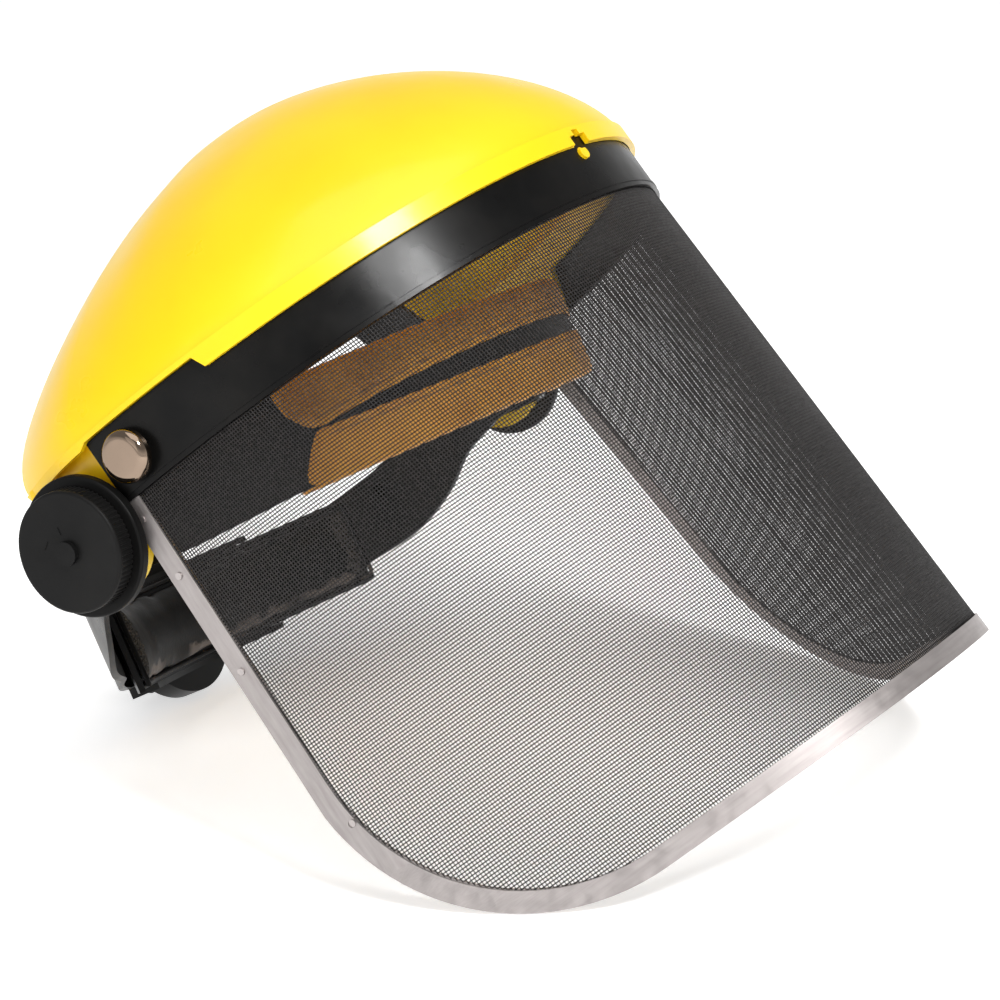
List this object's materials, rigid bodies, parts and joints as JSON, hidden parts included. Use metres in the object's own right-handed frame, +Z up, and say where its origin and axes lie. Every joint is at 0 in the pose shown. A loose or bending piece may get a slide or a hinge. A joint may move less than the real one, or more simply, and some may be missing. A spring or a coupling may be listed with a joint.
{
  "type": "face shield",
  "caption": "Face shield with a brow guard and a woven wire screen that lifts on side hinges, worn on a ratchet headgear with sweatband and nape pad.",
  "frame": {"origin": "middle of the bounding box, on the table the shield lies on", "axes": "+Z up from the table, -Y towards the front of the screen, +X towards the wearer's left; the visor leans back on its two lower corners and on the ratchet behind"},
  "size_m": [0.279, 0.3104, 0.2189],
  "materials": {
    "guard_yellow": "gloss, smooth moulded",
    "strip_black": "semi-gloss moulded",
    "wire_black": "satin black coated steel wire cloth",
    "trim_aluminium": "satin, lengthwise brushing, light scratches",
    "rivet_aluminium": "satin",
    "cap_chrome": "mirror bright",
    "post_steel": "plain zinc plated",
    "bolt_steel": "plain zinc plated",
    "washer_grey": "matt",
    "disc_black": "matt",
    "knob_black": "matt, knurled edge",
    "insert_brass": "plain",
    "harness_black": "semi-gloss moulded",
    "sweat_tan": "grained imitation leather",
    "pad_black": "glossy imitation leather over foam",
    "spring_steel": "plain"
  },
  "bodies": {
    "headgear": {"headband": "harness_black", "sweatband": "sweat_tan", "nape_plate": "harness_black", "ratchet_housing": "harness_black", "click_spring": "spring_steel", "nape_pad": "pad_black", "crown_stud": "harness_black", "pivot_bolt_right": "bolt_steel", "friction_washer_right": "washer_grey", "pressure_disc_right": "disc_black", "rear_strap_right": "harness_black", "crown_strap_right": "harness_black", "pivot_bolt_left": "bolt_steel", "friction_washer_left": "washer_grey", "pressure_disc_left": "disc_black", "rear_strap_left": "harness_black", "crown_strap_left": "harness_black"},
    "visor": {"brow_guard": "guard_yellow", "visor_strip": "strip_black", "mesh_screen": "wire_black", "edge_trim": "trim_aluminium", "trim_rivets": "rivet_aluminium", "snap_cap_right": "cap_chrome", "snap_cap_left": "cap_chrome", "snap_post_right": "post_steel", "snap_post_left": "post_steel"},
    "right_knob": {"tension_knob_right": "knob_black", "knob_insert_right": "insert_brass"},
    "left_knob": {"tension_knob_left": "knob_black", "knob_insert_left": "insert_brass"},
    "ratchet": {"ratchet_knob": "knob_black", "ratchet_pinion": "harness_black", "knob_screw": "bolt_steel"}
  },
  "joints": [
    {"name": "visor_lift", "type": "hinge", "parent": "headgear", "child": "visor", "pos_m": [0, 0.06865, 0.09273], "axis": [-1, 0, 0], "range_deg": [-13.5, 75]},
    {"name": "right_knob_turn", "type": "hinge", "parent": "headgear", "child": "right_knob", "pos_m": [-0.134, 0.06865, 0.09273], "axis": [-1, 0, 0], "range_deg": [-180, 540]},
    {"name": "left_knob_turn", "type": "hinge", "parent": "headgear", "child": "left_knob", "pos_m": [0.134, 0.06865, 0.09273], "axis": [1, 0, 0], "range_deg": [-180, 540]},
    {"name": "ratchet_turn", "type": "hinge", "parent": "headgear", "child": "ratchet", "pos_m": [0, 0.1416, 0.02078], "axis": [0, 0.9002, -0.4355], "range_deg": [-150, 150]}
  ]
}
